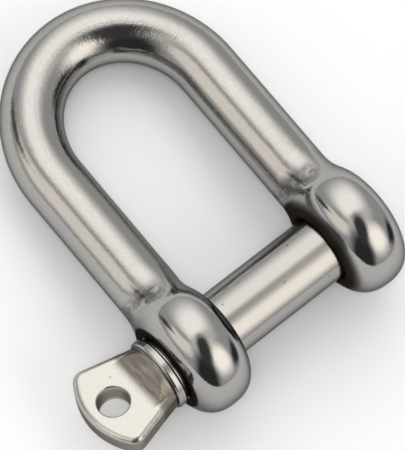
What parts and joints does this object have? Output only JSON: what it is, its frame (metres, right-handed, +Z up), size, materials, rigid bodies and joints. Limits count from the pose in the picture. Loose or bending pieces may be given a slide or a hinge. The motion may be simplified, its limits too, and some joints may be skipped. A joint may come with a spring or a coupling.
{
  "type": "d-shackle",
  "caption": "Forged steel D-shackle: a round bar bow with parallel legs and two thick eyes, closed by a screw pin with a collar and a flat head.",
  "frame": {"origin": "on the pin's axis, midway between the two eyes", "axes": "+X along the pin from its head to its threaded end, +Y from the pin towards the crown, +Z up, as the shackle lies on the crown and both eyes"},
  "size_m": [0.0557, 0.0644, 0.0212],
  "materials": {
    "bow_steel": "tumbled and polished stainless steel",
    "pin_steel": "polished stainless steel"
  },
  "bodies": {
    "bow": {"bow": "bow_steel"},
    "pin": {"screw_pin": "pin_steel"}
  },
  "joints": [
    {"name": "pin_withdraw", "type": "slide", "parent": "bow", "child": "pin", "axis": [-1, 0, 0], "range_m": [0, 0.042]}
  ]
}
